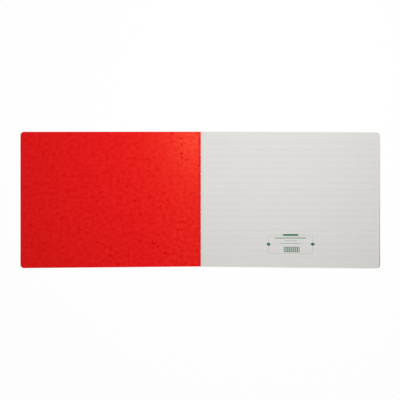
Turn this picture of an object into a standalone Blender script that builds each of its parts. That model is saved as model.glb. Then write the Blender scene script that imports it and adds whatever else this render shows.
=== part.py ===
"""Columnar account book in landscape format, lying open at its first page.

A red card cover is creased once along the spine. Its front half lies flat on the left and its back half
on the right, under a section of folded sheets that a white thread is sewn through along the fold.
Every leaf and the front cover turn about one axis, the fold line, which runs head to tail.

Frame: X from the front cover to the pages, Y from tail to head, Z up, origin under the fold on the table.
"""

import math

import bpy

MM = 0.001

# Driving dimensions, in millimetres
COVER_WIDTH = 320.0
BOOK_HEIGHT = 240.0
CORNER_RADIUS = 6.5
COVER_THICKNESS = 0.5
LEAF_COUNT = 20
LEAF_THICKNESS = 0.11
LEAF_CLEARANCE = 0.05
COVER_CLEARANCE = 0.3
COVER_PROJECTION = 0.8
CREASE_CLEARANCE = 0.3
THREAD_RADIUS = 0.3
THREAD_OFFSET = 0.6
STITCH_PITCH = 34.5
STITCH_LENGTH = 5.3
STITCH_CROSSING = 2.0
STITCH_SHIFT = -6.0
SEWING_MARGIN = 25.0
THREAD_TAIL = 8.0
PIVOT_MARK = 10.0

# Resolution of round stretches
CORNER_STEPS = 8
CROSSING_STEPS = 4

# Worked-out positions, in millimetres
LEAF_PITCH = LEAF_THICKNESS + LEAF_CLEARANCE
BLOCK_BOTTOM = COVER_THICKNESS + COVER_CLEARANCE
BLOCK_TOP = BLOCK_BOTTOM + LEAF_COUNT * LEAF_PITCH - LEAF_CLEARANCE
FOLD_HEIGHT = (BLOCK_BOTTOM + BLOCK_TOP) / 2
LEAF_INNER = THREAD_OFFSET + THREAD_RADIUS + COVER_CLEARANCE
LEAF_OUTER = COVER_WIDTH - COVER_PROJECTION
STITCH_GAPS = int((BOOK_HEIGHT - 2 * SEWING_MARGIN) / STITCH_PITCH)
FIRST_STITCH = STITCH_SHIFT + STITCH_GAPS * STITCH_PITCH / 2

RED_CARD = (0.68, 0.010, 0.011)
PAPER = (0.72, 0.70, 0.66)
COTTON = (0.82, 0.79, 0.72)


def clear_scene():
    """Remove every object that the startup scene holds."""
    for item in list(bpy.data.objects):
        bpy.data.objects.remove(item, do_unlink=True)


def new_collection(name):
    """Return a new collection linked to the scene."""
    collection = bpy.data.collections.new(name)
    bpy.context.scene.collection.children.link(collection)
    return collection


def finish(name, colour, roughness):
    """Return a Principled material that isn't metallic."""
    material = bpy.data.materials.new(name)
    material.use_nodes = True
    shader = material.node_tree.nodes["Principled BSDF"]
    shader.inputs["Base Color"].default_value = (*colour, 1.0)
    shader.inputs["Roughness"].default_value = roughness
    shader.inputs["Metallic"].default_value = 0.0
    return material


def pivot(name, collection, parent=None):
    """Return an empty on the fold axis, under another one if it is carried by it."""
    empty = bpy.data.objects.new(name, None)
    empty.empty_display_size = PIVOT_MARK * MM
    collection.objects.link(empty)
    if parent is None:
        empty.location = (0.0, 0.0, FOLD_HEIGHT * MM)
    else:
        empty.parent = parent
    return empty


def half_outline(inner, outer):
    """Return one half of the open book: square at the fold, rounded at its two outer corners.

    inner and outer are distances from the fold.
    """
    half_height = BOOK_HEIGHT / 2
    centre_x = outer - CORNER_RADIUS
    centre_y = half_height - CORNER_RADIUS
    outline = [(inner, -half_height)]
    for first_angle, side in ((-90.0, -1.0), (0.0, 1.0)):
        for step in range(CORNER_STEPS + 1):
            angle = math.radians(first_angle + 90.0 * step / CORNER_STEPS)
            x = centre_x + CORNER_RADIUS * math.cos(angle)
            y = side * centre_y + CORNER_RADIUS * math.sin(angle)
            outline.append((x, y))
    outline.append((inner, half_height))
    return outline


def sheet(name, outline, thickness, bottom, material, carrier, collection):
    """Add a flat sheet whose outline is a filled 2D curve, placed from the fold axis.

    bottom is the height of its underside over the table.
    """
    curve = bpy.data.curves.new(name, "CURVE")
    curve.dimensions = "2D"
    curve.fill_mode = "BOTH"
    curve.extrude = thickness * MM / 2
    spline = curve.splines.new("POLY")
    spline.points.add(len(outline) - 1)
    for point, (x, y) in zip(spline.points, outline):
        point.co = (x * MM, y * MM, 0.0, 1.0)
    spline.use_cyclic_u = True
    curve.materials.append(material)
    piece = bpy.data.objects.new(name, curve)
    collection.objects.link(piece)
    piece.parent = carrier
    piece.location.z = (bottom + thickness / 2 - FOLD_HEIGHT) * MM
    return piece


def crossing(y, side):
    """Return the points where the thread passes through the fold, tailwards from y, to the given side."""
    points = []
    for step in range(CROSSING_STEPS + 1):
        share = step / CROSSING_STEPS
        x = -side * THREAD_OFFSET * math.cos(math.pi * share)
        points.append((x, y - STITCH_CROSSING * share))
    return points


def thread_route():
    """Return the running stitch from head to tail: short runs outside the fold, long runs inside it."""
    reach = STITCH_LENGTH / 2
    run_out = reach + STITCH_CROSSING + THREAD_TAIL
    route = [(THREAD_OFFSET, FIRST_STITCH + run_out)]
    for gap in range(STITCH_GAPS + 1):
        middle = FIRST_STITCH - STITCH_PITCH * gap
        route += crossing(middle + reach + STITCH_CROSSING, -1.0)
        route += crossing(middle - reach, 1.0)
    route.append((THREAD_OFFSET, middle - run_out))
    return route


def sewing_thread(material, carrier, collection):
    """Add the thread as a round tube along its route, on the fold axis."""
    curve = bpy.data.curves.new("sewing_thread", "CURVE")
    curve.dimensions = "3D"
    curve.bevel_depth = THREAD_RADIUS * MM
    curve.bevel_resolution = 2
    curve.use_fill_caps = True
    route = thread_route()
    spline = curve.splines.new("POLY")
    spline.points.add(len(route) - 1)
    for point, (x, y) in zip(spline.points, route):
        point.co = (x * MM, y * MM, 0.0, 1.0)
    curve.materials.append(material)
    thread = bpy.data.objects.new("sewing_thread", curve)
    collection.objects.link(thread)
    thread.parent = carrier


def cover(fold, material, collection):
    """Add the two halves of the creased cover, the front one on its own pivot."""
    outline = half_outline(CREASE_CLEARANCE / 2, COVER_WIDTH)
    sheet("back_cover", outline, COVER_THICKNESS, 0.0, material, fold, collection)
    front = pivot("front_cover_pivot", collection, fold)
    mirrored = [(-x, y) for x, y in outline]
    sheet("front_cover", mirrored, COVER_THICKNESS, 0.0, material, front, collection)


def leaves(fold, material, collection):
    """Add the leaves from the last up to the first, each carried by the leaf that it lies on."""
    outline = half_outline(LEAF_INNER, LEAF_OUTER)
    carrier = fold
    for level in range(LEAF_COUNT):
        name = f"leaf_{LEAF_COUNT - level:02d}"
        carrier = pivot(f"{name}_pivot", collection, carrier)
        bottom = BLOCK_BOTTOM + level * LEAF_PITCH
        sheet(name, outline, LEAF_THICKNESS, bottom, material, carrier, collection)


def main():
    """Build the open account book."""
    clear_scene()
    book = new_collection("columnar_account_book")
    fold = pivot("fold_axis", book)
    cover(fold, finish("red_card", RED_CARD, 0.55), book)
    leaves(fold, finish("ledger_paper", PAPER, 0.85), book)
    sewing_thread(finish("cotton_thread", COTTON, 0.8), fold, book)


main()
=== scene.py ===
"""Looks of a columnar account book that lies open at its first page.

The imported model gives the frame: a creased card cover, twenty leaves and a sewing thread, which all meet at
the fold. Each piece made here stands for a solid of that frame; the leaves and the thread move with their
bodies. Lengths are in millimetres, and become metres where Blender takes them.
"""

import logging
import math
import random
from dataclasses import dataclass, field
from enum import Enum
from functools import partial, reduce

import bpy
from bpy.types import ID, Material, Mesh, Node, NodeTree, Object
from bpy.types import NodeSocket as Socket
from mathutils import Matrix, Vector

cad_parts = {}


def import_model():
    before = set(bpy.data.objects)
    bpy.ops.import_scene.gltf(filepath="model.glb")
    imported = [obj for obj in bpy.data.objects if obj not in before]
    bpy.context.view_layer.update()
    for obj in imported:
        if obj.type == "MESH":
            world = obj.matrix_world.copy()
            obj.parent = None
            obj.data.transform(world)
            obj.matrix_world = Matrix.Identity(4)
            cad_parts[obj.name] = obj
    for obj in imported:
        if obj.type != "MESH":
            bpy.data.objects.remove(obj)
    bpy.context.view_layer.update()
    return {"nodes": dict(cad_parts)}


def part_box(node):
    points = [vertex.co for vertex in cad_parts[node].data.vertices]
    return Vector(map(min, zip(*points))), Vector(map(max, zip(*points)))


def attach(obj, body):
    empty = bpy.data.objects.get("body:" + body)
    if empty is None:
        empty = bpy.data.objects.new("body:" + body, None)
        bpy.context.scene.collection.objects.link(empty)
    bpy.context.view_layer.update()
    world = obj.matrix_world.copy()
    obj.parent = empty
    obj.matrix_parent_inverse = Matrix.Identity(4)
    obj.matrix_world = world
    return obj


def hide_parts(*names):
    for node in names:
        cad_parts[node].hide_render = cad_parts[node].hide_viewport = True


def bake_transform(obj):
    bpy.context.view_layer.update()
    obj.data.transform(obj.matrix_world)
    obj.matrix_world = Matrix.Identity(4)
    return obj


MM = 0.001
SHARP_ANGLE = math.radians(35.0)
LOG = logging.getLogger("account_book")

Pair = tuple[float, float]
Triple = tuple[float, float, float]
Colour = Triple
Term = Socket | float | Triple
Inputs = dict[str | int, Term]

WHITE: Colour = (1.0, 1.0, 1.0)
BLACK: Colour = (0.0, 0.0, 0.0)

# Middle of a pattern that runs from 0 to 1
MIDDLE = 0.5

# Sockets of a Mix node that is set to colours
MIX_FACTOR = 0
MIX_FIRST = 6
MIX_SECOND = 7
MIX_RESULT = 2


class Side(Enum):
    """The two sides of a leaf. The recto faces up while the book lies open at its first page."""

    RECTO = "recto"
    VERSO = "verso"


class NodePen:
    """A pen for node trees: short calls that lay out the nodes of one shader or geometry tree."""

    def __init__(self, tree: NodeTree) -> None:
        """Start on a tree."""
        self.tree = tree

    def feed(self, socket: Socket, term: Term) -> None:
        """Give an input its value.

        Args:
            socket: The input.
            term: An output to link to it, or a plain value.
        """
        if isinstance(term, Socket):
            self.tree.links.new(term, socket)
        elif socket.type == "RGBA":
            socket.default_value = (*term, 1.0)
        else:
            socket.default_value = term

    def add(self, kind: str, inputs: Inputs | None = None, **settings: object) -> Node:
        """Add a node.

        Args:
            kind: Blender's name for the type of node.
            inputs: What its inputs get, by their names or numbers.
            settings: Properties of the node and their values.

        Returns:
            The new node.
        """
        node = self.tree.nodes.new(kind)
        for name, value in settings.items():
            setattr(node, name, value)
        for place, term in (inputs or {}).items():
            self.feed(node.inputs[place], term)
        return node

    def make(self, kind: str, output: str | int, inputs: Inputs | None = None, **settings: object) -> Socket:
        """Add a node as add does, and return one of its outputs, by its name or number."""
        return self.add(kind, inputs, **settings).outputs[output]

    def math(self, operation: str, *terms: Term) -> Socket:
        """Return the number that a Math node's operation makes of some terms."""
        return self.make("ShaderNodeMath", "Value", dict(enumerate(terms)), operation=operation)

    def product(self, *terms: Term) -> Socket:
        """Return the product of some terms."""
        return reduce(partial(self.math, "MULTIPLY"), terms)

    def greatest(self, *terms: Term) -> Socket:
        """Return the greatest of some terms."""
        return reduce(partial(self.math, "MAXIMUM"), terms)

    def within(self, value: Term, middle: Term, reach: float) -> Socket:
        """Return 1 where a value is no further than a reach from a middle, and 0 elsewhere."""
        return self.math("COMPARE", value, middle, reach)

    def stripes(self, value: Term, pitch: float, width: float) -> Socket:
        """Return 1 on stripes of a width that repeat at a pitch from 0, and 0 between them."""
        return self.within(self.math("PINGPONG", value, pitch / 2), 0.0, width / 2)

    def fade(self, value: Term, low: float, high: float) -> Socket:
        """Ease a value from 0 at its low end to 1 at its high end."""
        ends = {"Value": value, "From Min": low, "From Max": high}
        return self.make("ShaderNodeMapRange", "Result", ends, interpolation_type="SMOOTHSTEP")

    def mix(self, factor: Term, first: Term, second: Term) -> Socket:
        """Return a mix of two colours, given the share of the second one."""
        inputs = {MIX_FACTOR: factor, MIX_FIRST: first, MIX_SECOND: second}
        return self.make("ShaderNodeMix", MIX_RESULT, inputs, data_type="RGBA")


class FinishPen(NodePen):
    """A pen for one finish: a Principled shader and the place on the piece in millimetres."""

    def __init__(self, name: str) -> None:
        """Start a finish.

        Args:
            name: The material's name.
        """
        self.material = bpy.data.materials.new(name)
        self.material.use_nodes = True
        super().__init__(self.material.node_tree)
        self.shader = self.tree.nodes["Principled BSDF"]
        place = self.make("ShaderNodeTexCoord", "Object")
        inputs = {"Vector": place, "Scale": (1.0 / MM, 1.0 / MM, 1.0 / MM)}
        self.point = self.make("ShaderNodeMapping", "Vector", inputs)
        self.across, self.along, _ = self.add("ShaderNodeSeparateXYZ", {"Vector": self.point}).outputs

    def set(self, **values: Term) -> None:
        """Set the shader's inputs, each named with _ for the spaces."""
        for name, value in values.items():
            self.feed(self.shader.inputs[name.replace("_", " ")], value)

    def dyed(self, colour: Term) -> Material:
        """Return the material once its colour is set."""
        self.set(Base_Color=colour)
        return self.material

    def noise(self, size: float, detail: float = 2.0, point: Term | None = None) -> Socket:
        """Return cloudy noise, given the width of a cloud, its finer layers and where it is read."""
        inputs = {"Vector": point or self.point, "Scale": 1.0 / size, "Detail": detail}
        return self.make("ShaderNodeTexNoise", 0, inputs)

    def emboss(self, height: Term, depth: float, strength: float) -> None:
        """Raise the surface by a pattern.

        Args:
            height: The pattern.
            depth: How high the surface stands where the pattern is 1, in millimetres.
            strength: How strongly it shows.
        """
        inputs = {"Height": height, "Distance": depth * MM, "Strength": strength}
        self.set(Normal=self.make("ShaderNodeBump", "Normal", inputs))


@dataclass(frozen=True)
class PressedCard:
    """Red card dyed right through, mottled and specked from its pressing, with a dull red sheen.

    The mottling is calm at the fore-edge and grows towards the fold. Towards the fold the colour also takes a
    painted sheen, with more green and blue, in place of light reflected along the fold. A fade holds the
    noise where a pattern starts and where it is full.
    """

    colour: Colour = (0.750, 0.0062, 0.0091)
    # Painted sheen: the colour beside the fold, with more green and blue, in place of light reflected along
    # the fold
    painted_sheen_colour: Colour = (0.750, 0.0200, 0.0130)
    sheen_tint: Colour = (1.0, 0.32, 0.134)
    gloss: float = 0.25
    roughness: float = 0.148
    mottle: float = 0.04
    depth: float = 0.44
    sheen_mottle: float = 0.32
    cloud_size: float = 6.3
    cloud_fade: Pair = (0.25, 0.75)
    cloud_roughness: float = 0.06
    patch_size: float = 30.0
    patch_fade: Pair = (0.30, 0.62)
    speck: float = 5.2
    speck_size: float = 7.5
    speck_fade: Pair = (0.44, 0.28)
    speck_dulling: float = 0.9
    speck_roughness: float = 0.16
    speck_pit: float = 0.6
    fibre_size: float = 0.45
    fibre_length: float = 5.0
    fibre_turns: tuple[float, ...] = (0.5, 2.2, 1.4)
    fibre_fade: Pair = (0.62, 0.42)
    fibre_shade: float = 0.4
    fibre_roughness: float = 0.06
    swell_size: float = 4.0
    swell_share: float = 3.0
    relief_depth: float = 0.03
    relief_strength: float = 0.5
    calm_place: float = 320.0
    fold_fade_end: float = 20.0
    calm_share: float = 0.68
    # Share of the painted sheen beside the fold, and the distance from the fold where it starts
    painted_sheen_share: float = 0.28
    painted_sheen_place: float = 110.0

    def strands(self, pen: FinishPen, turn: float) -> Socket:
        """Return the card's matted fibres that lie in one direction.

        Args:
            pen: The pen of the card's finish.
            turn: The direction, in radians from the width of the card.

        Returns:
            The output that holds their height, from 0 to 1.
        """
        inputs = {
            "Vector": pen.point,
            "Rotation": (0.0, 0.0, turn),
            "Scale": (self.fibre_length, 1.0, 1.0),
        }
        laid = pen.make("ShaderNodeMapping", "Vector", inputs, vector_type="TEXTURE")
        return pen.noise(self.fibre_size, point=laid)

    def fold_closeness(self, pen: FinishPen, start: float) -> Socket:
        """Return how near a point lies to the fold, from 0 at a distance from the fold to 1 beside the fold.
        """
        return pen.fade(pen.math("ABSOLUTE", pen.across), start, self.fold_fade_end)

    def shade(self, colour: Colour, lift: float) -> Colour:
        """Return a colour of the card where the mottling changes it.

        Args:
            colour: The colour without the mottling.
            lift: How far it is lifted, or deepened at less than 0.

        Returns:
            The changed colour. Green and blue change more than red does.
        """
        red, green, blue = colour
        rest = max(0.0, 1.0 + self.depth * lift)
        return (red * (1.0 + self.mottle * lift), green * rest, blue * rest)

    def material(self) -> Material:
        """Lay out the card's finish.

        Returns:
            The material.
        """
        pen = FinishPen("pressed_red_card")
        fold_closeness = self.fold_closeness(pen, self.calm_place)
        strength = pen.math("MULTIPLY_ADD", fold_closeness, 1.0 - self.calm_share, self.calm_share)
        # Painted sheen towards the fold, in place of light reflected there
        painted_sheen_mask = pen.product(self.fold_closeness(pen, self.painted_sheen_place), self.painted_sheen_share)
        clouds = pen.fade(pen.noise(self.cloud_size, detail=1.0), *self.cloud_fade)
        clouds = pen.math("MULTIPLY_ADD", pen.math("SUBTRACT", clouds, MIDDLE), strength, MIDDLE)
        patches = pen.fade(pen.noise(self.patch_size), *self.patch_fade)
        specks = pen.fade(pen.noise(self.speck_size), *self.speck_fade)
        specks = pen.product(specks, strength, patches)
        fibres = pen.greatest(*(self.strands(pen, turn) for turn in self.fibre_turns))
        # Lighter and darker mottle tones, each with the painted sheen mixed in towards the fold
        light, dark = (
            pen.mix(painted_sheen_mask, self.shade(self.colour, lift), self.shade(self.painted_sheen_colour, lift))
            for lift in (1.0, -1.0)
        )
        clouded = pen.mix(clouds, light, dark)
        matted = pen.product(pen.fade(fibres, *self.fibre_fade), self.fibre_shade)
        clouded = pen.mix(matted, clouded, dark)
        clouded = pen.mix(specks, clouded, self.shade(self.colour, -self.speck))
        dullness = pen.math("MULTIPLY_ADD", clouds, self.cloud_roughness, self.roughness)
        dullness = pen.math("MULTIPLY_ADD", specks, self.speck_roughness, dullness)
        pen.set(Roughness=pen.math("MULTIPLY_ADD", fibres, self.fibre_roughness, dullness))
        sheen = pen.math("MULTIPLY_ADD", clouds, -2.0 * self.sheen_mottle, 1.0 + self.sheen_mottle)
        sheen = pen.math("MULTIPLY_ADD", specks, -self.speck_dulling, sheen)
        pen.set(Specular_IOR_Level=pen.product(sheen, self.gloss), Specular_Tint=self.sheen_tint)
        relief = pen.math("MULTIPLY_ADD", specks, -self.speck_pit, fibres)
        swell = pen.noise(self.swell_size, detail=1.0)
        relief = pen.math("MULTIPLY_ADD", swell, self.swell_share, relief)
        pen.emboss(relief, self.relief_depth, self.relief_strength)
        return pen.dyed(clouded)


@dataclass(frozen=True)
class ColumnRuling:
    """Ruled rows and columns of one page. Distances across are from the fold, and heights from mid-page."""

    top: float = 103.5
    row_pitch: float = 6.0
    row_count: int = 35
    head_rows: int = 3
    first_column: float = 12.0
    last_column: float = 311.0
    column_count: int = 11
    digit_count: int = 4
    dividers: tuple[float, ...] = ()
    fine_line: float = 0.18
    bold_line: float = 0.4
    row_ink: float = 0.45
    column_ink: float = 0.75
    digit_ink: float = 0.3

    @property
    def bottom(self) -> float:
        """Height of the last line."""
        return self.top - self.row_pitch * self.row_count

    @property
    def money_end(self) -> float:
        """Where the money columns end."""
        return self.dividers[0] if self.dividers else self.last_column

    def field(self, pen: FinishPen) -> Socket:
        """Mark the ruled field.

        Args:
            pen: The pen of the page's finish.

        Returns:
            The output that is 1 inside the field and 0 in the margins.
        """
        middle = (self.first_column + self.last_column) / 2
        sides = pen.within(pen.across, middle, self.last_column - middle + self.bold_line / 2)
        middle = (self.top + self.bottom) / 2
        ends = pen.within(pen.along, middle, self.top - middle + self.bold_line / 2)
        return pen.product(sides, ends)

    def tint(self, pen: FinishPen) -> Socket:
        """Return 1 on every second row, which is tinted, and 0 elsewhere."""
        from_middle = pen.math("SUBTRACT", pen.along, self.top - self.row_pitch / 2)
        return pen.product(pen.stripes(from_middle, 2.0 * self.row_pitch, self.row_pitch), self.field(pen))

    def lines(self, pen: FinishPen) -> Socket:
        """Rule the lines.

        Args:
            pen: The pen of the page's finish.

        Returns:
            The output that holds their ink, from 0 on bare paper to 1 on the boldest line.
        """
        column = (self.money_end - self.first_column) / self.column_count
        body_top = self.top - self.row_pitch * self.head_rows
        body = pen.math("LESS_THAN", pen.along, body_top)
        money = pen.math("LESS_THAN", pen.across, self.money_end + self.bold_line)
        from_top = pen.math("SUBTRACT", pen.along, self.top)
        from_first = pen.math("SUBTRACT", pen.across, self.first_column)
        rows = pen.stripes(from_top, self.row_pitch, self.fine_line)
        columns = pen.stripes(from_first, column, self.bold_line)
        digits = pen.stripes(from_first, column / self.digit_count, self.fine_line)
        digits = pen.product(digits, self.digit_ink, body)
        upright = pen.greatest(pen.product(columns, self.column_ink), digits)
        shown = [pen.product(rows, self.row_ink, body), pen.product(upright, money)]
        for height in (self.top, self.top - self.row_pitch, body_top, self.bottom):
            shown.append(pen.within(pen.along, height, self.bold_line / 2))
        for distance in (*self.dividers, self.last_column):
            shown.append(pen.within(pen.across, distance, self.bold_line / 2))
        return pen.product(pen.greatest(*shown), self.field(pen))


@dataclass(frozen=True)
class TitlePanel:
    """Plain printed panel of the first page: a thin frame, a heading bar, dotted lines and a row of cells.

    A reach is half of a width and a height. A dotted line has a height over the middle, half of its length
    and a weight.
    """

    middle: Pair = (159.4, -80.2)
    reach: Pair = (39.3, 16.4)
    frame_line: float = 0.48
    frame_ink: float = 0.5
    heading_reach: Pair = (13.4, 1.6)
    dotted_lines: tuple[Triple, ...] = ((11.0, 27.6, 1.7), (6.0, 10.8, 0.8), (1.5, 19.4, 0.8))
    dot_pitch: float = 1.1
    dot: float = 0.75
    cells_reach: Pair = (13.8, 4.5)
    cells_drop: float = 9.4
    cells_shift: float = 1.8
    cell_count: int = 8
    cell_line: float = 0.3
    cell_bar: float = 1.2
    cell_ink: float = 0.3
    stud_reach: Pair = (3.4, 2.7)

    def box(self, pen: FinishPen, drop: float, reach: Pair, shift: float = 0.0) -> Socket:
        """Return how far a point is outside a box of the panel.

        Args:
            pen: The pen of the page's finish.
            drop: How far the box's middle is under the panel's middle.
            reach: Half of the box's width and height.
            shift: How far the box's middle is to the right of the panel's middle.

        Returns:
            The distance in millimetres, less than 0 inside the box.
        """
        sides = (pen.across, self.middle[0] + shift), (pen.along, self.middle[1] - drop)
        outside = []
        for (place, middle), half in zip(sides, reach):
            distance = pen.math("ABSOLUTE", pen.math("SUBTRACT", place, middle))
            outside.append(pen.math("SUBTRACT", distance, half))
        return pen.greatest(*outside)

    def studs(self, pen: FinishPen) -> Socket:
        """Mark the two round dots at the ends of the frame.

        Args:
            pen: The pen of the page's finish.

        Returns:
            The output that is 1 on the dots and 0 elsewhere.
        """
        across = pen.math("ABSOLUTE", pen.math("SUBTRACT", pen.across, self.middle[0]))
        across = pen.math("SUBTRACT", across, self.reach[0])
        along = pen.math("SUBTRACT", pen.along, self.middle[1])
        shares = [pen.math("DIVIDE", *pair) for pair in zip((across, along), self.stud_reach)]
        squares = pen.math("ADD", *(pen.product(share, share) for share in shares))
        return pen.math("LESS_THAN", squares, 1.0)

    def ink(self, pen: FinishPen) -> Socket:
        """Print the panel.

        Args:
            pen: The pen of the page's finish.

        Returns:
            The output that holds its ink, from 0 on bare paper to 1 where it is solid.
        """
        frame = pen.within(self.box(pen, 0.0, self.reach), 0.0, self.frame_line / 2)
        heading = pen.math("LESS_THAN", self.box(pen, -self.reach[1], self.heading_reach), 0.0)
        shown = [pen.product(frame, self.frame_ink), heading, self.studs(pen)]
        dots = pen.stripes(pen.across, self.dot_pitch, self.dot)
        for height, reach, weight in self.dotted_lines:
            line = pen.math("LESS_THAN", self.box(pen, -height, (reach, weight / 2)), 0.0)
            shown.append(pen.product(line, dots))
        cells = self.box(pen, self.cells_drop, self.cells_reach, self.cells_shift)
        cells_start = self.middle[0] + self.cells_shift - self.cells_reach[0]
        from_start = pen.math("SUBTRACT", pen.across, cells_start)
        bars = pen.stripes(from_start, 2.0 * self.cells_reach[0] / self.cell_count, self.cell_bar)
        inside = pen.math("LESS_THAN", cells, 0.0)
        shown.append(pen.product(inside, pen.greatest(bars, self.cell_ink)))
        shown.append(pen.within(cells, 0.0, self.cell_line))
        return pen.greatest(*shown)


@dataclass(frozen=True)
class LedgerPaper:
    """White account paper with a little cloud in it, printed in green."""

    colour: Colour = (0.6465, 0.6374, 0.6139)
    cloud_colour: Colour = (0.6369, 0.6278, 0.6043)
    ink_colour: Colour = (0.020, 0.160, 0.090)
    tint_colour: Colour = (0.640, 0.700, 0.640)
    tint_share: float = 0.6
    cloud_size: float = 7.0
    cloud_fade: Pair = (0.3, 0.7)
    fibre_size: float = 0.7
    fibre_depth: float = 0.012
    fibre_strength: float = 0.3
    show_through: float = 0.022
    roughness: float = 0.82
    gloss: float = 0.25

    def sheet(self, name: str) -> tuple[FinishPen, Socket]:
        """Start a material with the bare paper.

        Args:
            name: The material's name.

        Returns:
            The finish so far, and the output that holds the paper's colour.
        """
        pen = FinishPen(name)
        clouds = pen.fade(pen.noise(self.cloud_size, detail=4.0), *self.cloud_fade)
        pen.set(Roughness=self.roughness, Specular_IOR_Level=self.gloss)
        pen.emboss(pen.noise(self.fibre_size), self.fibre_depth, self.fibre_strength)
        return pen, pen.mix(clouds, self.colour, self.cloud_colour)

    def bare(self) -> Material:
        """Return the paper of the cut edges."""
        pen, paper = self.sheet("ledger_paper_edge")
        return pen.dyed(paper)

    def ruled(self, side: Side, ruling: ColumnRuling) -> Material:
        """Lay out the paper of a ruled page.

        Args:
            side: The side of the leaf that the page is on.
            ruling: The page's rows and columns.

        Returns:
            The material.
        """
        pen, paper = self.sheet(f"ledger_paper_{side.value}")
        tinted = pen.mix(pen.product(ruling.tint(pen), self.tint_share), paper, self.tint_colour)
        return pen.dyed(pen.mix(ruling.lines(pen), tinted, self.ink_colour))

    def title(self, panel: TitlePanel, behind: ColumnRuling) -> Material:
        """Lay out the paper of the first page, which shows a trace of the ruling behind it.

        Args:
            panel: The panel that is printed on the page.
            behind: The ruling on the other side of the leaf.

        Returns:
            The material.
        """
        pen, paper = self.sheet("ledger_paper_title")
        traces = [pen.product(mark(pen), self.show_through) for mark in (behind.tint, behind.lines)]
        traced = pen.mix(pen.math("ADD", *traces), paper, BLACK)
        return pen.dyed(pen.mix(panel.ink(pen), traced, self.ink_colour))


@dataclass(frozen=True)
class CottonThread:
    """Undyed cotton, a little darker in a fine pattern of its fibres."""

    colour: Colour = (0.80, 0.77, 0.70)
    shade_colour: Colour = (0.62, 0.58, 0.50)
    shade_fade: Pair = (0.35, 0.7)
    fibre_size: float = 0.12
    fibre_depth: float = 0.02
    fibre_strength: float = 0.4
    roughness: float = 0.85
    gloss: float = 0.2

    def material(self) -> Material:
        """Lay out the thread's finish.

        Returns:
            The material.
        """
        pen = FinishPen("cotton_thread")
        fibres = pen.noise(self.fibre_size)
        pen.set(Roughness=self.roughness, Specular_IOR_Level=self.gloss)
        pen.emboss(fibres, self.fibre_depth, self.fibre_strength)
        return pen.dyed(pen.mix(pen.fade(fibres, *self.shade_fade), self.colour, self.shade_colour))


class GeometryRecipe:
    """A Geometry Nodes tree with named inputs, which turns an object's mesh into a finished one."""

    def __init__(self, name: str, inputs: dict[str, str]) -> None:
        """Start a tree.

        Args:
            name: The tree's name.
            inputs: The name of each input and the type of its socket.
        """
        self.tree = bpy.data.node_groups.new(name, "GeometryNodeTree")
        self.pen = NodePen(self.tree)
        sockets = self.tree.interface
        sockets.new_socket("Geometry", in_out="INPUT", socket_type="NodeSocketGeometry")
        sockets.new_socket("Geometry", in_out="OUTPUT", socket_type="NodeSocketGeometry")
        self.identifiers = {
            key: sockets.new_socket(key, in_out="INPUT", socket_type=kind).identifier
            for key, kind in inputs.items()
        }
        self.given = self.pen.add("NodeGroupInput").outputs
        self.result = self.pen.add("NodeGroupOutput").inputs["Geometry"]

    def finish(self, geometry: Socket, materials: dict[str, Term]) -> None:
        """End the tree in plain geometry that carries its materials.

        Args:
            geometry: The geometry so far.
            materials: The name of each material input, and the faces that take it.
        """
        geometry = self.pen.make("GeometryNodeRealizeInstances", "Geometry", {"Geometry": geometry})
        for name, faces in materials.items():
            inputs = {"Geometry": geometry, "Selection": faces, "Material": self.given[name]}
            geometry = self.pen.make("GeometryNodeSetMaterial", "Geometry", inputs)
        self.pen.feed(self.result, geometry)

    def apply(self, piece: Object, values: dict[str, object]) -> None:
        """Run the tree on a piece, which keeps the result as its own mesh.

        Args:
            piece: The mesh object.
            values: The value of each named input.
        """
        modifier = piece.modifiers.new(self.tree.name, "NODES")
        modifier.node_group = self.tree
        for name, value in values.items():
            modifier[self.identifiers[name]] = value
        graph = bpy.context.evaluated_depsgraph_get()
        made = bpy.data.meshes.new_from_object(piece.evaluated_get(graph), depsgraph=graph)
        piece.modifiers.remove(modifier)
        rough = piece.data
        made.name = piece.name
        piece.data = made
        bpy.data.meshes.remove(rough)


@dataclass(frozen=True)
class BookFrame:
    """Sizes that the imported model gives, in millimetres, and how far the crease lies towards the pages."""

    cover_reach: float
    half_height: float
    cover_thickness: float
    leaf_reach: float
    leaf_thickness: float
    leaf_levels: tuple[float, ...]
    fold_height: float
    crease_shift: float = 1.3

    @classmethod
    def measure(cls, nodes: list[str]) -> "BookFrame":
        """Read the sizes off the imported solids.

        Args:
            nodes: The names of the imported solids.

        Returns:
            The book's sizes.
        """
        cover_low, cover_high = (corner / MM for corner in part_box("back_cover"))
        leaves = [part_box(name) for name in sorted(nodes) if name.startswith("leaf_")]
        first_high = leaves[0][1] / MM
        last_low = leaves[-1][0] / MM
        fold_height = (first_high.z + last_low.z) / 2
        levels = tuple((low.z + high.z) / 2 / MM - fold_height for low, high in leaves)
        return cls(
            cover_reach=cover_high.x,
            half_height=cover_high.y,
            cover_thickness=cover_high.z - cover_low.z,
            leaf_reach=first_high.x,
            leaf_thickness=(leaves[0][1].z - leaves[0][0].z) / MM,
            leaf_levels=levels,
            fold_height=fold_height,
        )


def spread(start: float, end: float, count: int) -> list[float]:
    """Return the values from a start to an end that lie a count of even steps apart."""
    return [start + (end - start) * step / count for step in range(count + 1)]


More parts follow.
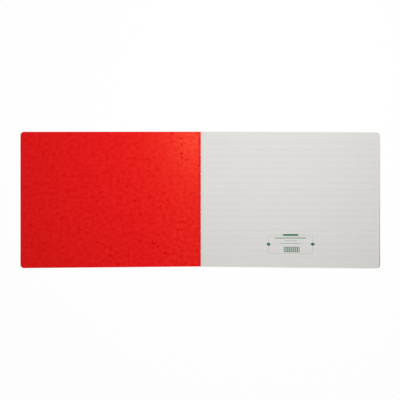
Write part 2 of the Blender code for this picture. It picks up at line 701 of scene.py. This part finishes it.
@dataclass(frozen=True)
class HalfOutline:
    """One half of the open book from above: straight at the fold, with rounded corners at the fore-edge.

    The drops say how much lower the head and the tail are at the fore-edge than at the fold.
    """

    reach: float
    half_height: float
    head_drop: float
    tail_drop: float
    corner_radius: float = 6.5
    corner_steps: int = 8

    def corner_stations(self) -> list[float]:
        """Return the distances from the fold of the points round a corner."""
        turns = spread(0.0, math.pi / 2, self.corner_steps)
        return [self.reach - self.corner_radius + self.corner_radius * math.sin(turn) for turn in turns]

    def ends(self, distance: float) -> Pair:
        """Find where the outline ends.

        Args:
            distance: How far from the fold.

        Returns:
            The heights of the tail and of the head there.
        """
        share = distance / self.reach
        past = max(0.0, distance - (self.reach - self.corner_radius))
        inset = self.corner_radius - math.sqrt(max(0.0, self.corner_radius**2 - past**2))
        tail = -self.half_height - self.tail_drop * share + inset
        head = self.half_height - self.head_drop * share - inset
        return tail, head


def ease(share: float) -> float:
    """Return a share with a gentle start and end, held at 0 from below."""
    share = max(0.0, share)
    return share * share * (3.0 - 2.0 * share)


def sheet_mesh(name: str, columns: list[list[Pair]], bottoms: list[float], tops: list[float]) -> Mesh:
    """Make a closed sheet from columns of points that run from tail to head.

    Args:
        name: The mesh's name.
        columns: The points of each column, in millimetres, from left to right.
        bottoms: The height of each column's underside.
        tops: The height of each column's upper side.

    Returns:
        The mesh: its upper faces first, then its lower faces, then its edges.
    """
    rows = len(columns[0])
    count = rows * len(columns)
    points = []
    for heights in (tops, bottoms):
        for column, height in zip(columns, heights):
            points += [(x * MM, y * MM, height * MM) for x, y in column]
    upper, lower = [], []
    for column in range(len(columns) - 1):
        for row in range(rows - 1):
            first = column * rows + row
            face = (first, first + rows, first + rows + 1, first + 1)
            upper.append(face)
            lower.append(tuple(count + point for point in reversed(face)))
    rim = [column * rows for column in range(len(columns))]
    rim += [count - rows + row for row in range(1, rows)]
    rim += [column * rows + rows - 1 for column in range(len(columns) - 2, -1, -1)]
    rim += list(range(rows - 2, 0, -1))
    edges = [(first, count + first, count + second, second) for first, second in zip(rim, rim[1:] + rim[:1])]
    mesh = bpy.data.meshes.new(name)
    mesh.from_pydata(points, [], upper + lower + edges)
    mesh.update()
    return mesh


def place(name: str, data: ID) -> Object:
    """Add an object at the origin.

    Args:
        name: The object's name.
        data: Its mesh, light or camera.

    Returns:
        The object.
    """
    added = bpy.data.objects.new(name, data)
    bpy.context.scene.collection.objects.link(added)
    return added


def soften(mesh: Mesh) -> None:
    """Shade a mesh smooth, apart from its cut edges."""
    mesh.shade_smooth()
    mesh.set_sharp_from_angle(angle=SHARP_ANGLE)


@dataclass
class CardCover:
    """The one-piece cover: a card that lies flat on both sides of a low ridge with a scored groove."""

    frame: BookFrame
    front_drops: Pair = (0.2, 2.9)
    back_drops: Pair = (1.4, 3.4)
    ridge_height: float = 0.7
    ridge_reach: float = 4.5
    groove_place: float = -1.1
    groove_reach: float = 1.3
    groove_depth: float = 0.4
    bend_reach: float = 3.0
    crease_columns: int = 30
    panel_columns: int = 12
    rows: int = 13

    def half(self, shift: float, drops: Pair) -> HalfOutline:
        """Return the outline of one half, from how much wider it is and how much its head and tail drop."""
        return HalfOutline(self.frame.cover_reach + shift, self.frame.half_height, *drops)

    def ridge(self, x: float) -> float:
        """Return how high the card stands over the table at a place across it."""
        raised = self.ridge_height * ease(1.0 - abs(x) / self.ridge_reach)
        return raised - self.groove_depth * ease(1.0 - abs(x - self.groove_place) / self.groove_reach)

    def stations(self, outline: HalfOutline) -> list[float]:
        """Return the distances from the fold of one half's columns, outwards."""
        near, corner = spread(0.0, self.ridge_reach, self.crease_columns), outline.corner_stations()
        return near[:-1] + spread(self.ridge_reach, corner[0], self.panel_columns)[:-1] + corner

    def build(self, finish: PressedCard) -> Object:
        """Make the cover.

        Args:
            finish: The card's finish.

        Returns:
            The cover.
        """
        front = self.half(self.frame.crease_shift, self.front_drops)
        back = self.half(-self.frame.crease_shift, self.back_drops)
        signed = [(-distance, front) for distance in reversed(self.stations(front)[1:])]
        signed += [(distance, back) for distance in self.stations(back)]
        columns, bottoms = [], []
        for x, outline in signed:
            tail, head = outline.ends(abs(x))
            columns.append([(x, y) for y in spread(tail, head, self.rows - 1)])
            bottoms.append(self.ridge(x))
        tops = [bottom + self.frame.cover_thickness for bottom in bottoms]
        mesh = sheet_mesh("card_cover", columns, bottoms, tops)
        mesh.materials.append(finish.material())
        soften(mesh)
        cover = place("card_cover", mesh)
        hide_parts("front_cover", "back_cover")
        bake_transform(cover)
        return cover


@dataclass
class Section:
    """The folded sheets: leaves that lie on one another and run together at the fold.

    A face is a page where its normal stands higher than facing, or as far down, and a cut edge elsewhere.
    """

    frame: BookFrame
    nested_inner: float = 0.55
    fold_gap: float = 0.006
    hole_reach: float = 0.5
    hole_rim: float = 0.05
    dip_length: float = 24.0
    dip_power: float = 6.0
    fold_share: float = 0.17
    thread_room: float = 0.17
    lip_radius: float = 0.405
    lip_thickness: float = 0.02
    lip_turn: float = 190.0
    lip_steps: int = 10
    drops: Pair = (1.4, 3.4)
    trim_back: float = 0.15
    trim_slant: float = 0.5
    trim_spread: float = 0.08
    cockle_height: float = 0.12
    cockle_size: float = 95.0
    facing: float = 0.5
    dip_columns: int = 12
    page_columns: int = 16
    rows: int = 15
    seed: int = 7
    ruling: dict[Side, ColumnRuling] = field(
        default_factory=lambda: {
            Side.RECTO: ColumnRuling(),
            Side.VERSO: ColumnRuling(column_count=6, dividers=(167.0, 282.0, 302.0)),
        }
    )

    def recipe(self) -> GeometryRecipe:
        """Lay out the tree that lays a flat leaf in its place in the section.

        Returns:
            The tree.
        """
        sizes = ("Level", "Fold Height", "Dip Length", "Dip Power", "Fold Share", "Thread Room")
        sizes += ("Cockle Height", "Cockle Size", "Seed")
        kinds = dict.fromkeys(sizes, "NodeSocketFloat")
        kinds |= dict.fromkeys(("Edge", "Recto", "Verso"), "NodeSocketMaterial")
        recipe = GeometryRecipe("leaf_lay", kinds)
        pen, given = recipe.pen, recipe.given
        position = pen.make("GeometryNodeInputPosition", "Position")
        across, along, up = pen.add("ShaderNodeSeparateXYZ", {"Vector": position}).outputs
        share = pen.math("DIVIDE", across, given["Dip Length"])
        left = pen.math("SUBTRACT", 1.0, pen.math("MINIMUM", share, 1.0))
        near_fold = pen.math("POWER", left, given["Dip Power"])
        closing = pen.math("SUBTRACT", given["Fold Share"], 1.0)
        lift = pen.math("MULTIPLY_ADD", near_fold, closing, 1.0)
        apart = pen.math("MULTIPLY_ADD", near_fold, given["Thread Room"], given["Fold Height"])
        flat = pen.make("ShaderNodeCombineXYZ", "Vector", {"X": across, "Y": along, "Z": given["Seed"]})
        scale = pen.math("DIVIDE", 1.0, given["Cockle Size"])
        cloud = pen.make("ShaderNodeTexNoise", 0, {"Vector": flat, "Scale": scale, "Detail": 0.0})
        swing = pen.math("DIVIDE", pen.math("SUBTRACT", cloud, MIDDLE), MIDDLE)
        cockle = pen.product(swing, given["Cockle Height"])
        raised = pen.math("ADD", pen.math("ADD", up, given["Level"]), cockle)
        height = pen.math("MULTIPLY_ADD", raised, lift, apart)
        laid = pen.make("ShaderNodeCombineXYZ", "Vector", {"X": across, "Y": along, "Z": height})
        inputs = {"Geometry": given["Geometry"], "Position": laid}
        moved = pen.make("GeometryNodeSetPosition", "Geometry", inputs)
        normal = pen.make("GeometryNodeInputNormal", "Normal")
        tilt = pen.make("ShaderNodeSeparateXYZ", "Z", {"Vector": normal})
        upward = pen.math("GREATER_THAN", tilt, self.facing)
        downward = pen.math("LESS_THAN", tilt, -self.facing)
        recipe.finish(moved, {"Edge": True, "Recto": upward, "Verso": downward})
        return recipe

    def page_rows(self, holes: list[Pair]) -> list[tuple[float, bool]]:
        """Return where a leaf's points lie from tail to head.

        Args:
            holes: The lower and the upper end of each sewing hole.

        Returns:
            The share of the leaf's height at each row, and whether the row lies in a hole.
        """
        height = 2.0 * self.frame.half_height
        rim = self.hole_rim / height
        even = spread(0.0, 1.0, self.rows - 1)
        rows = []
        for low, high in ((low / height + 0.5, high / height + 0.5) for low, high in holes):
            even = [share for share in even if not low - rim < share < high + rim]
            rows += [(low - rim, False), (low, True), (high, True), (high + rim, False)]
        return sorted(rows + [(share, False) for share in even])

    def flat_leaf(self, name: str, inner: float, reach: float, holes: list[Pair]) -> Mesh:
        """Make a leaf before it is laid in place, flat and level with the fold.

        Args:
            name: The mesh's name.
            inner: The distance from the fold to where the leaf starts.
            reach: The distance from the fold to its fore-edge.
            holes: The lower and the upper end of each sewing hole.

        Returns:
            The leaf's mesh.
        """
        outline = HalfOutline(reach, self.frame.half_height, *self.drops)
        corner = outline.corner_stations()
        near = [self.dip_length * (step / self.dip_columns) ** 2 for step in range(1, self.dip_columns)]
        stations = [inner] + [distance for distance in near if distance > inner]
        stations += spread(self.dip_length, corner[0], self.page_columns)[:-1] + corner
        rows = self.page_rows(holes)
        columns = []
        for number, distance in enumerate(stations):
            tail, head = outline.ends(distance)
            column = []
            for share, punched in rows:
                y = tail + (head - tail) * share
                x = distance + self.trim_slant * distance / reach * y / self.frame.half_height
                if punched and distance < self.hole_reach:
                    x = self.hole_reach + self.hole_rim * number
                column.append((x, y))
            columns.append(column)
        half = self.frame.leaf_thickness / 2
        return sheet_mesh(name, columns, [-half] * len(columns), [half] * len(columns))

    def fold_lip(self, material: Material) -> Mesh:
        """Make the rounded back of the outermost sheet, which goes on from the first leaf round the thread.

        Args:
            material: The paper's material.

        Returns:
            The mesh.
        """
        turns = spread(math.pi / 2, math.radians(self.lip_turn), self.lip_steps)
        arcs = (self.lip_radius, turns), (self.lip_radius - self.lip_thickness, turns[::-1])
        profile = [
            (radius * math.cos(turn), radius * math.sin(turn))
            for radius, way in arcs
            for turn in way
        ]
        count = len(profile)
        points = [
            (x * MM, y * MM, (self.frame.fold_height + z) * MM)
            for y in (-self.frame.half_height, self.frame.half_height)
            for x, z in profile
        ]
        faces = [(k, (k + 1) % count, count + (k + 1) % count, count + k) for k in range(count)]
        for k in range(self.lip_steps):
            cap = (k, count - 1 - k, count - 2 - k, k + 1)
            faces += [cap, tuple(count + point for point in reversed(cap))]
        mesh = bpy.data.meshes.new("paper_fold")
        mesh.from_pydata(points, [], faces)
        mesh.materials.append(material)
        soften(mesh)
        return mesh

    def bind(self, piece: Object, node: str) -> Object:
        """Let a piece of paper stand for a packed leaf and move with it.

        Args:
            piece: The piece.
            node: The leaf's name.

        Returns:
            The piece.
        """
        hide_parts(node)
        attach(piece, node)
        return piece

    def build(self, finish: LedgerPaper, panel: TitlePanel, holes: list[Pair]) -> list[Object]:
        """Make the leaves.

        Args:
            finish: The paper's finish.
            panel: The panel on the first page.
            holes: The lower and the upper end of each sewing hole in the first leaf.

        Returns:
            The leaves, from the first down to the last, and the back of the outermost sheet.
        """
        recipe = self.recipe()
        edge = finish.bare()
        pages = {side: finish.ruled(side, ruling) for side, ruling in self.ruling.items()}
        title = finish.title(panel, self.ruling[Side.VERSO])
        values = {
            "Fold Height": self.frame.fold_height * MM,
            "Dip Length": self.dip_length * MM,
            "Dip Power": self.dip_power,
            "Fold Share": self.fold_share,
            "Cockle Height": self.cockle_height * MM,
            "Cockle Size": self.cockle_size * MM,
            "Seed": float(self.seed),
            "Edge": edge,
            "Verso": pages[Side.VERSO],
        }
        chance = random.Random(self.seed)
        leaves = []
        for number, level in enumerate(self.frame.leaf_levels, start=1):
            node = f"leaf_{number:02d}"
            outermost = number in (1, len(self.frame.leaf_levels))
            inner = self.fold_gap if outermost else self.nested_inner
            reach = self.frame.leaf_reach - self.frame.crease_shift - self.trim_back
            reach += chance.uniform(-self.trim_spread, self.trim_spread)
            punched = holes if number == 1 else []
            leaf = place(f"paper_{node}", self.flat_leaf(node, inner, reach, punched))
            values["Level"] = level * MM
            values["Thread Room"] = math.copysign(self.thread_room, level) * MM
            values["Recto"] = title if number == 1 else pages[Side.RECTO]
            recipe.apply(leaf, values)
            soften(leaf.data)
            leaves.append(self.bind(leaf, node))
        leaves.append(self.bind(place("paper_fold", self.fold_lip(edge)), "leaf_01"))
        return leaves


@dataclass
class Sewing:
    """The thread: long runs inside the fold and short stitches behind it, laid up from three plies.

    Its route passes through four spots of the fold, given across it and up from it.
    """

    frame: BookFrame
    inside: Pair = (0.0, 0.0)
    through: Pair = (-0.23, -0.42)
    under: Pair = (-0.27, -0.84)
    outside: Pair = (-0.70, -0.84)
    thread_radius: float = 0.17
    plies: int = 3
    ply_share: float = 0.52
    ply_sides: int = 8
    lay: float = 2.2
    step: float = 0.3
    stitch_pitch: float = 34.5
    stitch_count: int = 6
    stitch_length: float = 5.3
    stitch_shift: float = -6.0
    crossing: float = 1.0
    through_place: float = 0.4
    bend: float = 0.8
    settle: float = 0.5
    lead: float = 1.0
    tail: float = 8.0
    hole_ends: Pair = (0.45, 0.85)

    def middles(self) -> list[float]:
        """Return the middle of each stitch, from head to tail."""
        first = self.stitch_shift + self.stitch_pitch * (self.stitch_count - 1) / 2
        return [first - self.stitch_pitch * number for number in range(self.stitch_count)]

    def holes(self) -> list[Pair]:
        """Find the holes that the thread passes through.

        Returns:
            The lower and the upper end of each hole.
        """
        near = self.stitch_length / 2 - self.hole_ends[0]
        far = self.stitch_length / 2 + self.hole_ends[1]
        ranges = []
        for middle in self.middles():
            ranges += [(middle - far, middle - near), (middle + near, middle + far)]
        return ranges

    def route(self) -> list[Triple]:
        """Find the way of the thread.

        Returns:
            The points that it follows from head to tail.
        """
        half = self.stitch_length / 2
        leg = [
            (half + self.crossing + self.lead, self.inside),
            (half + self.crossing, self.inside),
            (half + self.through_place, self.through),
            (half, self.under),
            (half - self.bend, self.outside),
            (half - self.bend - self.settle, self.outside),
        ]
        stitch = leg + [(-distance, spot) for distance, spot in reversed(leg)]
        run_out = half + self.crossing + self.lead + self.tail
        middles = self.middles()
        points = [(middles[0] + run_out, self.inside)]
        for middle in middles:
            points += [(middle + distance, spot) for distance, spot in stitch]
        points.append((middles[-1] - run_out, self.inside))
        return [(x * MM, y * MM, (self.frame.fold_height + z) * MM) for y, (x, z) in points]

    def recipe(self) -> GeometryRecipe:
        """Lay out the tree that lays up a thread along a route.

        Returns:
            The tree.
        """
        kinds = {"Plies": "NodeSocketInt", "Ply Sides": "NodeSocketInt"}
        kinds |= dict.fromkeys(("Ply Radius", "Ply Offset", "Lay", "Step"), "NodeSocketFloat")
        kinds["Thread"] = "NodeSocketMaterial"
        recipe = GeometryRecipe("thread_lay", kinds)
        pen, given = recipe.pen, recipe.given
        line = pen.make("GeometryNodeMeshToCurve", "Curve", {"Mesh": given["Geometry"]})
        line = pen.make("GeometryNodeCurveSplineType", "Curve", {"Curve": line}, spline_type="BEZIER")
        line = pen.make("GeometryNodeCurveSetHandles", "Curve", {"Curve": line}, handle_type="AUTO")
        inputs = {"Curve": line, "Length": given["Step"]}
        line = pen.make("GeometryNodeResampleCurve", "Curve", inputs, mode="LENGTH")
        inputs = {"Geometry": line, "Amount": given["Plies"]}
        copies, number = pen.add("GeometryNodeDuplicateElements", inputs, domain="SPLINE").outputs
        length = pen.make("GeometryNodeSplineParameter", "Length")
        share = pen.math("DIVIDE", number, given["Plies"])
        turns = pen.math("ADD", pen.math("DIVIDE", length, given["Lay"]), share)
        angle = pen.product(turns, math.tau)
        normal = pen.make("GeometryNodeInputNormal", "Normal")
        tangent = pen.make("GeometryNodeInputTangent", "Tangent")
        vectors = partial(pen.make, "ShaderNodeVectorMath", "Vector")
        side = vectors({0: tangent, 1: normal}, operation="CROSS_PRODUCT")
        offsets = []
        for direction, wave in ((normal, "COSINE"), (side, "SINE")):
            reach = pen.product(pen.math(wave, angle), given["Ply Offset"])
            offsets.append(vectors({0: direction, "Scale": reach}, operation="SCALE"))
        offset = vectors(dict(enumerate(offsets)), operation="ADD")
        wound = pen.make("GeometryNodeSetPosition", "Geometry", {"Geometry": copies, "Offset": offset})
        inputs = {"Resolution": given["Ply Sides"], "Radius": given["Ply Radius"]}
        profile = pen.make("GeometryNodeCurvePrimitiveCircle", "Curve", inputs)
        inputs = {"Curve": wound, "Profile Curve": profile, "Fill Caps": True}
        recipe.finish(pen.make("GeometryNodeCurveToMesh", "Mesh", inputs), {"Thread": True})
        return recipe

    def build(self, finish: CottonThread) -> Object:
        """Make the thread.

        Args:
            finish: The thread's finish.

        Returns:
            The thread, which stays with the back cover.
        """
        points = self.route()
        mesh = bpy.data.meshes.new("sewn_thread")
        mesh.from_pydata(points, [(first, first + 1) for first in range(len(points) - 1)], [])
        thread = place("sewn_thread", mesh)
        ply_radius = self.thread_radius * self.ply_share
        values = {
            "Plies": self.plies,
            "Ply Sides": self.ply_sides,
            "Ply Radius": ply_radius * MM,
            "Ply Offset": (self.thread_radius - ply_radius) * MM,
            "Lay": self.lay * MM,
            "Step": self.step * MM,
            "Thread": finish.material(),
        }
        self.recipe().apply(thread, values)
        soften(thread.data)
        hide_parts("sewing_thread")
        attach(thread, "back_cover")
        return thread


@dataclass
class Studio:
    """White table, one broad lamp over the head of the book, even fill and a camera straight above.

    The frame width is how much of the table the picture takes in.
    """

    frame_width: float = 712.0
    camera_height: float = 2600.0
    camera_offset: Pair = (-1.7, -1.6)
    sensor_width: float = 36.0
    lamp_place: Triple = (135.5, 260.6, 984.0)
    lamp_size: Pair = (150.0, 260.0)
    lamp_power: float = 10.12
    fill: float = 0.158
    floor_reach: float = 6000.0
    floor_gap: float = 0.3
    floor_white: float = 0.95
    floor_colour: Colour = (0.9, 0.9, 0.9)

    def sees_backdrop(self, pen: NodePen) -> Socket:
        """Return 1 for rays that show the backdrop itself, straight, in gloss or through glass."""
        path = pen.add("ShaderNodeLightPath").outputs
        return pen.greatest(path["Is Camera Ray"], path["Is Glossy Ray"], path["Is Transmission Ray"])

    def floor(self) -> None:
        """Add the table, white from the camera, which still takes the book's shadow."""
        material = bpy.data.materials.new("white_table")
        material.use_nodes = True
        pen = NodePen(material.node_tree)
        pen.tree.nodes.remove(pen.tree.nodes["Principled BSDF"])
        matt = pen.make("ShaderNodeBsdfDiffuse", "BSDF", {"Color": self.floor_colour})
        glow = pen.make("ShaderNodeEmission", "Emission")
        share = pen.product(self.sees_backdrop(pen), self.floor_white)
        both = pen.make("ShaderNodeMixShader", "Shader", {"Fac": share, 1: matt, 2: glow})
        pen.feed(pen.tree.nodes["Material Output"].inputs["Surface"], both)
        reach = self.floor_reach * MM
        corners = [(-reach, -reach), (reach, -reach), (reach, reach), (-reach, reach)]
        mesh = bpy.data.meshes.new("table")
        mesh.from_pydata([(x, y, -self.floor_gap * MM) for x, y in corners], [], [(0, 1, 2, 3)])
        mesh.materials.append(material)
        place("table", mesh)

    def lamp(self) -> None:
        """Add the broad lamp, aimed at the book."""
        light = bpy.data.lights.new("broad_lamp", "AREA")
        light.shape = "RECTANGLE"
        light.size = self.lamp_size[0] * MM
        light.size_y = self.lamp_size[1] * MM
        light.energy = self.lamp_power
        lamp = place("broad_lamp", light)
        lamp.location = Vector(self.lamp_place) * MM
        lamp.rotation_euler = (-lamp.location).to_track_quat("-Z", "Y").to_euler()

    def world(self) -> None:
        """Fill the room with even light, and show it white."""
        world = bpy.data.worlds.new("studio")
        world.use_nodes = True
        pen = NodePen(world.node_tree)
        background = pen.tree.nodes["Background"].inputs
        pen.feed(background["Color"], WHITE)
        strength = pen.math("MULTIPLY_ADD", self.sees_backdrop(pen), 1.0 - self.fill, self.fill)
        pen.feed(background["Strength"], strength)
        bpy.context.scene.world = world

    def camera(self) -> None:
        """Add the camera, which looks straight down with the head of the book up."""
        data = bpy.data.cameras.new("camera")
        data.sensor_width = self.sensor_width
        data.lens = self.sensor_width * self.camera_height / self.frame_width
        camera = place("camera", data)
        camera.location = Vector((*self.camera_offset, self.camera_height)) * MM
        bpy.context.scene.camera = camera

    def build(self) -> None:
        """Set up the table, the light and the camera."""
        self.floor()
        self.lamp()
        self.world()
        self.camera()
        bpy.context.scene.view_settings.view_transform = "Standard"


def main() -> None:
    """Dress the book and set up its studio."""
    logging.basicConfig(level=logging.INFO, format="%(name)s: %(message)s")
    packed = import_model()
    frame = BookFrame.measure(list(packed["nodes"]))
    Studio().build()
    pieces = [CardCover(frame).build(PressedCard())]
    sewing = Sewing(frame)
    pieces += Section(frame).build(LedgerPaper(), TitlePanel(), sewing.holes())
    pieces.append(sewing.build(CottonThread()))
    for piece in pieces:
        LOG.info("%s: %d faces", piece.name, len(piece.data.polygons))


if __name__ == "__main__":
    main()
